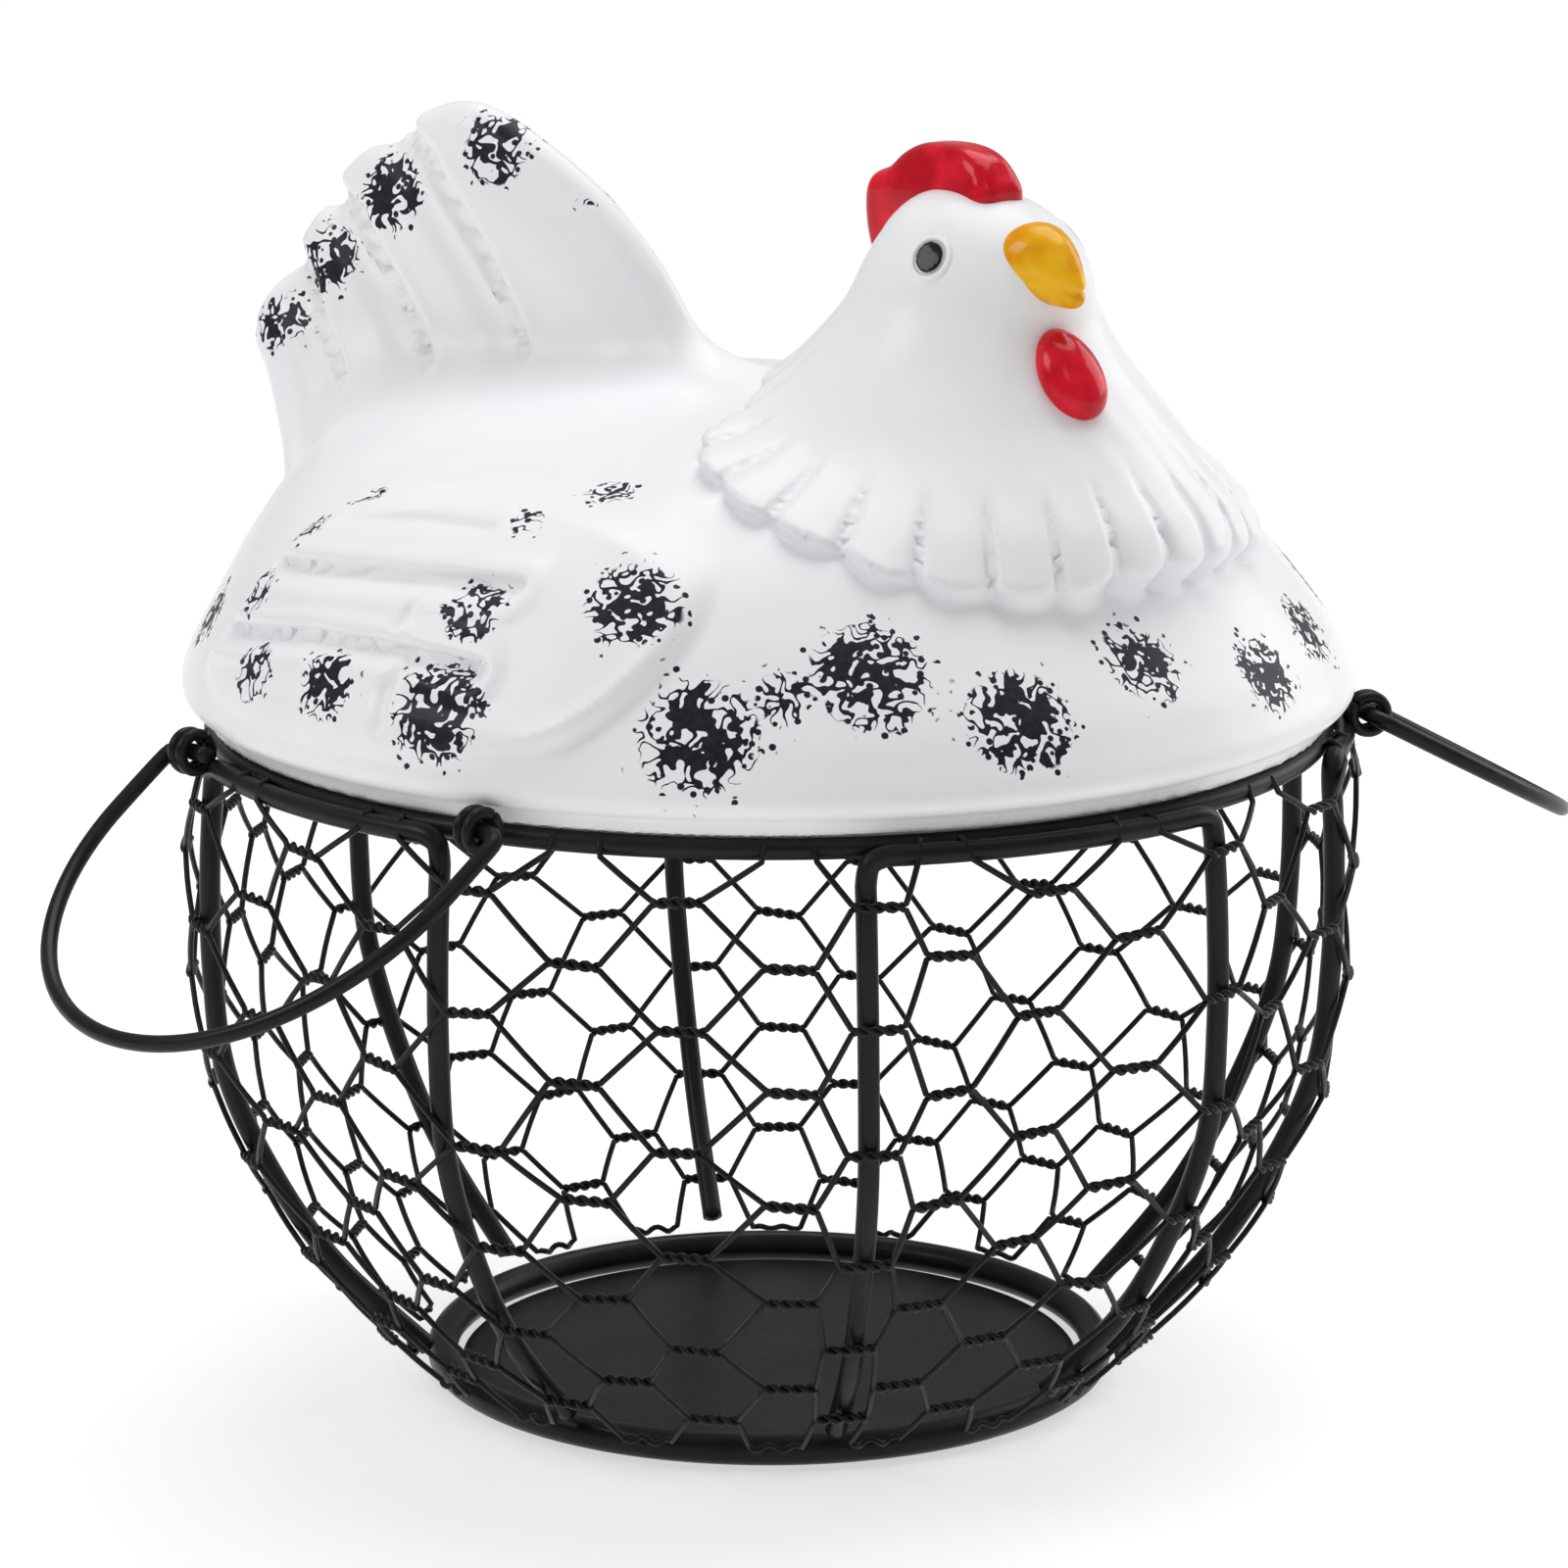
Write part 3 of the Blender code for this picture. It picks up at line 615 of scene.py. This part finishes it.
def outline_distance(px, pz, outline):
    """Signed distance to a closed outline: negative inside."""
    outline = np.asarray(outline, float)
    best = np.full(px.shape, 1e9)
    inside = np.zeros(px.shape, bool)
    for (ax, az), (bx, bz) in zip(outline, np.roll(outline, -1, 0)):
        ex, ez = bx - ax, bz - az
        wx, wz = px - ax, pz - az
        t = np.clip((wx * ex + wz * ez) / (ex * ex + ez * ez + 1e-12), 0, 1)
        best = np.minimum(best, (wx - t * ex) ** 2 + (wz - t * ez) ** 2)
        crosses = ((az > pz) != (bz > pz)) & (px < (bx - ax) * (pz - az) / (bz - az + 1e-12) + ax)
        inside ^= crosses
    return np.where(inside, -1, 1) * np.sqrt(best)


def line_distance(px, pz, line):
    best = np.full(px.shape, 1e9)
    for (ax, az), (bx, bz) in zip(line, line[1:]):
        ex, ez = bx - ax, bz - az
        wx, wz = px - ax, pz - az
        t = np.clip((wx * ex + wz * ez) / (ex * ex + ez * ez), 0, 1)
        best = np.minimum(best, (wx - t * ex) ** 2 + (wz - t * ez) ** 2)
    return np.sqrt(best)


class Grid2:
    """Values worked out once on a fine grid and then looked up between its points."""

    def __init__(self, low, high, step, function):
        self.low, self.step = low, step
        x = np.arange(low[0], high[0] + step, step)
        z = np.arange(low[1], high[1] + step, step)
        self.values = function(*np.meshgrid(x, z, indexing="ij"))

    def __call__(self, px, pz):
        limit = np.array(self.values.shape) - 2
        fx = np.clip((px - self.low[0]) / self.step, 0, limit[0] + 0.999)
        fz = np.clip((pz - self.low[1]) / self.step, 0, limit[1] + 0.999)
        i, k = fx.astype(int), fz.astype(int)
        u, v = fx - i, fz - k
        g = self.values
        below = g[i, k] * (1 - u) + g[i + 1, k] * u
        above = g[i, k + 1] * (1 - u) + g[i + 1, k + 1] * u
        return below * (1 - v) + above * v


def turned_field(pairs, floor):
    """Distance field of a turned solid from (radius, height) pairs, rising, closed down to a floor."""
    rounded = spline(np.array(pairs, float), 0.8)
    rounded[:, 0] = np.maximum(rounded[:, 0], 0.0)
    outline = [(-40.0, floor), (pairs[0][0], floor), *map(tuple, rounded), (-40.0, pairs[-1][1])]
    return Grid2((-2, 90), (112, 205), 0.5, lambda x, z: outline_distance(x, z, outline))


def neck_centre(z):
    """How far ahead of the middle the neck's centre is at a height."""
    return np.interp(z, [row[0] for row in NECK], [row[1] for row in NECK])


def flat_field(outline, low, high, step, spacing):
    """Distance field of a smooth closed outline."""
    rounded = spline([*outline, outline[0]], spacing)
    return Grid2(low, high, step, lambda x, z: outline_distance(x, z, rounded))


REAR, FRONT, SIDE = (turned_field([(row[i], row[0]) for row in BODY], BODY[0][0]) for i in (1, 2, 3))
NECK_FIELD = turned_field([(r, z) for z, _, r in NECK], 120.0)
TAIL_FIELD = flat_field(TAIL, (-110, 100), (20, 205), 0.5, 0.8)
WING_FIELD = flat_field(WING, (-80, 95), (60, 165), 0.5, 0.8)


def body_distance(x, y, z):
    reach = np.hypot(x, y)
    ahead = x / np.maximum(reach, 1e-6)
    share = ahead**2
    along = np.where(x > 0, FRONT(reach, z), REAR(reach, z))
    return share * along + (1 - share) * SIDE(reach, z)


def step_up(value, low, high):
    t = np.clip((value - low) / (high - low), 0, 1)
    return t * t * (3 - 2 * t)


def head_frame(x, y, z):
    """Coordinates turned with the head, about its own upright axis."""
    turn = math.radians(HEAD_TURN)
    hx = (x - HEAD_AHEAD) * math.cos(turn) + y * math.sin(turn)
    hy = -(x - HEAD_AHEAD) * math.sin(turn) + y * math.cos(turn)
    return hx, hy, z


def hen_field(x, y, z, fine):
    """Signed distance to the outside of the lid: negative in the ceramic and in its hollow."""
    body = plain = body_distance(x, y, z)
    # wings: raised egg-shaped patches with overlapping feathers
    wing = WING_FIELD(x, z)
    raised = step_up(-wing, -0.6, 2.6) * step_up(-z, -153, -147)
    fade = step_up(x, -60, -30) * 0.7 + 0.3
    low = step_up(z, 109, 119)
    height = 2.3 * raised * fade * low
    if fine:
        lip = np.exp(-((wing + 2.6) / 1.6) ** 2) * 0.35 * step_up(x, 0, 25) * low
        height = height + lip
        for line, depth, width in WING_GROOVES:
            far = line_distance(x, z, line)
            height = height - depth * np.exp(-((far / width) ** 2)) * raised
            height = height + 0.45 * depth * np.exp(-(((far - 2.2 * width) / (1.3 * width)) ** 2)) * raised
    on_side = step_up(np.abs(y), 20, 34)
    body = body - height * on_side
    # tail: a fan of feathers in the plane of symmetry
    fan = TAIL_FIELD(x, z)
    inward = np.clip(-fan, 0, 40)
    half = 3.6 + 2.6 * step_up(inward, 0, 12) + 5.5 * step_up(-(z + 0.35 * x), -142, -114)
    if fine:
        for line in TAIL_GROOVES:
            far = line_distance(x, z, line)
            slope = (line[-1][0] - line[0][0], line[-1][1] - line[0][1])
            side = (x - line[0][0]) * slope[1] - (z - line[0][1]) * slope[0]
            side = side / math.hypot(*slope)
            sharp = np.exp(-((far / 1.4) ** 2))
            bank = np.exp(-(((side - 2.8) / 3.4) ** 2)) * step_up(-far, -9, -3)
            ridge = np.exp(-(((side + 2.6) / 2.0) ** 2)) * step_up(-far, -5, -3)
            half = half - 2.6 * sharp - 1.3 * np.where(side > 0, bank, 0) + 0.5 * ridge
        root = np.exp(-((fan + 2.0) / 1.8) ** 2) * 0.3
        half = half + root
    tail = smooth_max(fan, np.abs(y) - half, 5.0)
    shell = smooth_min(body, tail, 9.0 + 7.0 * step_up(-x, 50, 80))
    # neck, and the hackle skirt that hugs the body down to a scalloped edge
    centre = neck_centre(z)
    around = np.arctan2(y, x - NECK_AHEAD)
    degrees = np.degrees(around)
    reach = np.hypot(x - centre, y)
    out = np.hypot(x - NECK_AHEAD, y)
    towards = np.cos(around + math.radians(62.0)) ** 2
    swell = 1 + 0.06 * towards * step_up(-z, -158, -146)
    neck = NECK_FIELD(reach / swell, z)
    turned = np.abs(degrees)
    limit = np.interp(turned, *np.array(SKIRT_REACH).T)
    level = np.interp(turned, *np.array(SKIRT_LEVEL).T)
    pitch = np.radians(np.interp(turned, (0.0, 95.0, 130.0, 180.0), (46.0, 40.0, 12.0, 3.0)))
    lobe = np.abs(np.sin((around - math.radians(-76.0)) * PETALS / 2))
    edge = (out - limit) * np.cos(pitch) - (z - level) * np.sin(pitch) + 2.4 * (1 - np.sqrt(lobe))
    mantle = smooth_min(neck, plain - 2.3, 5.0)
    if fine:
        grow = step_up(edge, -17.0, -1.5)
        valley = np.exp(-((lobe / 0.24) ** 2))
        mantle = mantle + 1.5 * valley * grow - 0.45 * (1 - valley) * grow * lobe
        mantle = mantle + 0.06 * np.sin(around * 31 + z * 0.3) * step_up(-z, -168, -150)
    # the face: a soft bulge along the head's own heading
    hx, hy, _ = head_frame(x, y, z)
    muzzle = np.sqrt(((hx - 6.5) / 11.5) ** 2 + (hy / 11.0) ** 2 + ((z - 173.5) / 9.5) ** 2) * 10.5 - 10.5
    mantle = smooth_min(mantle, muzzle, 4.0)
    skirt = smooth_max(mantle, edge, 1.0)
    return smooth_min(shell, skirt, 1.2)


def eye_spot(side):
    angle = math.radians(HEAD_TURN + side * 69.0)
    return np.array([HEAD_AHEAD + 15.6 * math.cos(angle), 15.6 * math.sin(angle), 179.0])


EYES = {side: eye_spot(side) for side in (-1, 1)}


def lid_field(x, y, z, fine):
    """The lid with its locating step and its hollow."""
    outer = hen_field(x, y, z, fine)
    reach = np.hypot(x, y)
    flange = np.maximum(reach - STEP_RADIUS, np.maximum(z - 112.0, STEP_HEIGHT - z))
    lip = np.maximum(reach - LIP_OUTSIDE, np.maximum(z - 112.0, LIP_HEIGHT - z))
    outer = smooth_min(outer, flange, 0.5)
    outer = smooth_min(outer, lip, 0.3)
    blend = step_up(z, 108.0, 116.0)
    deep = (reach - LIP_INSIDE) * (1 - blend) + (body_distance(x, y, z) + CERAMIC + 1.0) * blend
    centre = neck_centre(z)
    throat = NECK_FIELD(np.hypot(x - centre, y), z) + CERAMIC + 1.0
    throat = np.maximum(throat, z - 180.0)
    hollow = smooth_min(deep, throat, 6.0)
    return smooth_max(outer, -hollow, 0.6)


def surface_nets(field, low, high, step):
    """Quads on the zero surface of a field sampled on a grid."""
    axes = [np.arange(a, b + step, step) for a, b in zip(low, high)]
    size = [len(axis) for axis in axes]
    values = np.empty(size, np.float32)
    for i, x in enumerate(axes[0]):
        gy, gz = np.meshgrid(axes[1], axes[2], indexing="ij")
        values[i] = field(np.full(gy.shape, x), gy, gz, False)
    inside = values < 0
    cells = tuple(n - 1 for n in size)
    total = np.zeros((*cells, 3), np.float32)
    hits = np.zeros(cells, np.int16)
    for axis in range(3):
        a = [slice(None)] * 3
        b = [slice(None)] * 3
        a[axis], b[axis] = slice(0, -1), slice(1, None)
        va, vb = values[tuple(a)], values[tuple(b)]
        cut = inside[tuple(a)] != inside[tuple(b)]
        share = np.where(cut, va / np.where(cut, va - vb, 1), 0)
        others = [i for i in range(3) if i != axis]
        for du in (0, 1):
            for dv in (0, 1):
                pick = [slice(None)] * 3
                pick[others[0]] = slice(du, size[others[0]] - 1 + du)
                pick[others[1]] = slice(dv, size[others[1]] - 1 + dv)
                c, s = cut[tuple(pick)], share[tuple(pick)]
                hits += c
                total[..., axis] += s * c
                total[..., others[0]] += du * c
                total[..., others[1]] += dv * c
    active = hits > 0
    index = np.full(cells, -1, np.int64)
    index[active] = np.arange(active.sum())
    where = np.argwhere(active)
    points = (where + total[active] / hits[active][:, None]) * step + np.array([axis[0] for axis in axes])
    faces = []
    for axis in range(3):
        u, v = [(1, 2), (2, 0), (0, 1)][axis]
        a = [slice(None)] * 3
        b = [slice(None)] * 3
        a[axis], b[axis] = slice(0, -1), slice(1, None)
        cut = inside[tuple(a)] != inside[tuple(b)]
        spots = np.argwhere(cut)
        within = (spots[:, u] > 0) & (spots[:, v] > 0) & (spots[:, u] < cells[u]) & (spots[:, v] < cells[v])
        spots = spots[within]
        flip = inside[tuple(a)][tuple(spots.T)]
        corners = []
        for du, dv in ((1, 1), (0, 1), (0, 0), (1, 0)):
            spot = spots.copy()
            spot[:, u] -= du
            spot[:, v] -= dv
            corners.append(index[tuple(spot.T)])
        quad = np.stack(corners, 1)
        quad[~flip] = quad[~flip][:, ::-1]
        faces.append(quad)
    return points, np.vstack(faces)


def settle(points, field, rounds):
    """Moves points onto the zero surface of a field."""
    points = points.astype(float).copy()
    nudge = 0.12
    for _ in range(rounds):
        value = field(*points.T, True)
        slope = np.empty_like(points)
        for axis in range(3):
            step = np.zeros(3)
            step[axis] = nudge
            ahead, behind = field(*(points + step).T, True), field(*(points - step).T, True)
            slope[:, axis] = (ahead - behind) / (2 * nudge)
        size = np.maximum((slope**2).sum(1), 0.2)
        move = -(value / size)[:, None] * slope
        far = np.linalg.norm(move, axis=1)
        move *= np.minimum(1, 1.2 / np.maximum(far, 1e-9))[:, None]
        points += 0.8 * move
    return points


def to_row_frame(points):
    turn = math.radians(HEADING)
    c, s = math.cos(turn), math.sin(turn)
    x, y, z = points.T
    return np.column_stack([c * x - s * y, s * x + c * y, z])


def build_hen(glaze):
    step = 0.85
    points, faces = surface_nets(lid_field, (-100, -94, 99), (96, 94, 196), step)
    points = settle(points, lid_field, 3)
    weight = np.zeros(len(points))
    for x, y, z, radius, strength in SPECKLES:
        far = ((points - (x, y, z)) ** 2).sum(1) / (FLECK_SPREAD * radius) ** 2
        weight = np.maximum(weight, strength * np.exp(-(far**1.5) * 0.9))
    hen = piece("hen", (to_row_frame(points), faces.tolist()), "lid", glaze, "white_glaze", ["hen_lid"])
    layer = hen.data.attributes.new("speckle", "FLOAT", "POINT")
    layer.data.foreach_set("value", weight.astype(np.float32))


def blob(field, low, high, step):
    points, faces = surface_nets(field, low, high, step)
    return settle(points, field, 2), faces.tolist()


COMB = (
    (-13.0, 168.0), (-17.5, 173.0), (-20.0, 178.5), (-20.6, 184.0), (-19.4, 187.4), (-16.0, 189.0),
    (-13.0, 191.4),
    (-9.0, 192.9), (-2.0, 193.2), (2.6, 192.0), (5.6, 189.0), (6.4, 186.0), (4.0, 181.0),
)


COMB_FIELD = flat_field(COMB, (-28, 158), (16, 200), 0.25, 0.6)


def comb_field(x, y, z, fine):
    hx, hy, hz = head_frame(x, y, z)
    plate = COMB_FIELD(hx, hz)
    half = 4.8 - 0.9 * step_up(hz, 184, 193)
    shape = smooth_max(plate, np.abs(hy) - half, 3.0)
    return np.maximum(shape, -1.6 - hen_field(x, y, z, False))


def beak_field(x, y, z, fine):
    hx, hy, hz = head_frame(x, y, z)
    along = hx - 15.0
    droop = hz - 177.9 + 0.045 * along**2
    width = 5.7 - 0.26 * np.clip(along, -2, 12)
    upper = np.sqrt((along / 9.4) ** 2 + ((hy + 1.5) / width) ** 2 + (droop / 5.8) ** 2) * 5.6 - 5.6
    seam = np.exp(-(((hz - 175.9 + 0.02 * along**2) / 0.5) ** 2)) * 0.35 * step_up(along, 1.0, 3.0)
    return np.maximum(upper + seam, -1.6 - hen_field(x, y, z, False))


def wattle_field(x, y, z, fine):
    hx, hy, hz = head_frame(x, y, z)
    along, rise = hx - 22.8 + 0.5 * (hz - 162.2), hz - 162.4
    width = 5.3 - 0.09 * rise
    shape = np.sqrt((along / 4.2) ** 2 + ((hy + 2.2) / width) ** 2 + (rise / 6.3) ** 2) * 4.6 - 4.6
    return np.maximum(shape, -1.6 - hen_field(x, y, z, False))


def eye_field(side):
    eye = EYES[side]

    def field(x, y, z, fine):
        far = np.sqrt((x - eye[0]) ** 2 + (y - eye[1]) ** 2 + ((z - eye[2]) * 0.8) ** 2) - 2.05
        outer = hen_field(x, y, z, False)
        return smooth_max(np.maximum(far, outer - 0.55), 0.12 - outer, 0.2)

    return field


def eye_ring_field(side):
    eye = EYES[side]

    def field(x, y, z, fine):
        far = np.sqrt((x - eye[0]) ** 2 + (y - eye[1]) ** 2 + ((z - eye[2]) * 0.86) ** 2)
        return np.sqrt((far - 2.95) ** 2 + (hen_field(x, y, z, False) - 0.05) ** 2) - 0.42

    return field


def build_face(red, yellow, black, white):
    parts = (
        ("comb_red", comb_field, (10, -14, 164), (58, 16, 196), red, "red_glaze", "comb"),
        ("beak_yellow", beak_field, (42, -18, 168), (68, 8, 188), yellow, "yellow_glaze", "beak"),
        ("wattle_red", wattle_field, (44, -20, 150), (72, 8, 174), red, "red_glaze", "wattle"),
    )
    step = 0.45
    for name, field, low, high, paint, slot, node in parts:
        points, faces = blob(field, low, high, step)
        piece(name, (to_row_frame(points), faces), "lid", paint, slot, [node])
    for side, name in ((-1, "right"), (1, "left")):
        eye = EYES[side]
        points, faces = blob(eye_field(side), eye - 5.0, eye + 5.0, 0.25)
        piece(f"eye_{name}", (to_row_frame(points), faces), "lid", black, "black_glaze", [f"hen_eye_{name}"])
        points, faces = blob(eye_ring_field(side), eye - 5.0, eye + 5.0, 0.25)
        piece(f"eye_ring_{name}", (to_row_frame(points), faces), "lid", white, "white_glaze", ["hen_lid"])


# ---------------------------------------------------------------- studio


def build_stage():
    made, _, shader = material("studio_floor")
    shader.inputs["Base Color"].default_value = (0.5, 0.5, 0.5, 1.0)
    shader.inputs["Emission Color"].default_value = (1.0, 1.0, 1.0, 1.0)
    shader.inputs["Emission Strength"].default_value = 0.58
    shader.inputs["Roughness"].default_value = 0.7
    shader.inputs["Specular IOR Level"].default_value = 0.2
    bpy.ops.mesh.primitive_plane_add(size=30, location=(0, 0, -0.0005))
    floor = bpy.context.object
    floor.name = "studio_floor"
    floor.data.materials.append(made)
    world = bpy.data.worlds.new("studio")
    world.use_nodes = True
    world.node_tree.nodes["Background"].inputs["Color"].default_value = (1.0, 1.0, 1.0, 1.0)
    world.node_tree.nodes["Background"].inputs["Strength"].default_value = 0.33
    bpy.context.scene.world = world
    lamps = (
        # kind, name, place, size in metres (or angle), strength, colour
        ("SUN", "overhead", (0.3, 0.2, 1.0), math.radians(50), 1.8, (1.0, 1.0, 1.0)),
        ("AREA", "right_window", (1.0, 0.0, 0.5), 0.7, 3.6, (1.0, 1.0, 1.0)),
        ("AREA", "left_window", (-0.9, 0.15, 0.9), 0.5, 3.9, (1.0, 1.0, 1.0)),
        ("AREA", "front_box", (-0.2, -0.95, 1.1), 0.3, 0.5, (1.0, 1.0, 1.0)),
    )
    for kind, name, place, size, strength, colour in lamps:
        light = bpy.data.lights.new(name, kind)
        if kind == "SUN":
            light.angle = size
        else:
            light.size = size
        light.energy = strength
        light.color = colour
        lamp = bpy.data.objects.new(name, light)
        lamp.location = place
        lamp.rotation_euler = (Vector((0, 0, 0.1)) - Vector(place)).to_track_quat("-Z", "Y").to_euler()
        bpy.context.scene.collection.objects.link(lamp)


def build_camera():
    data = bpy.data.cameras.new("camera")
    data.lens = 149.84
    data.sensor_width = 36.0
    data.dof.use_dof = False
    camera = bpy.data.objects.new("camera", data)
    aim = Vector((0.00197, -0.00114, 0.09207))
    turn, lift = math.radians(-30.0), math.radians(13.26)
    away = Vector((math.sin(turn) * math.cos(lift), -math.cos(turn) * math.cos(lift), math.sin(lift)))
    camera.location = aim + away
    camera.rotation_euler = (-away).to_track_quat("-Z", "Y").to_euler()
    bpy.context.scene.collection.objects.link(camera)
    bpy.context.scene.camera = camera


def main():
    wire = black_wire_paint()
    build_rods(wire)
    build_floor(wire)
    build_handles(wire)
    build_net(wire)
    white = white_glaze()
    build_hen(white)
    build_face(
        gloss_paint("red_paint", (0.74, 0.008, 0.028), (0.5, 0.002, 0.012), 0.14),
        gloss_paint("yellow_paint", (0.88, 0.47, 0.008), (0.74, 0.29, 0.002), 0.18),
        gloss_paint("black_paint", (0.02, 0.022, 0.03), (0.008, 0.008, 0.01), 0.15),
        white,
    )
    build_stage()
    build_camera()
    bpy.context.scene.view_settings.view_transform = "Standard"


main()
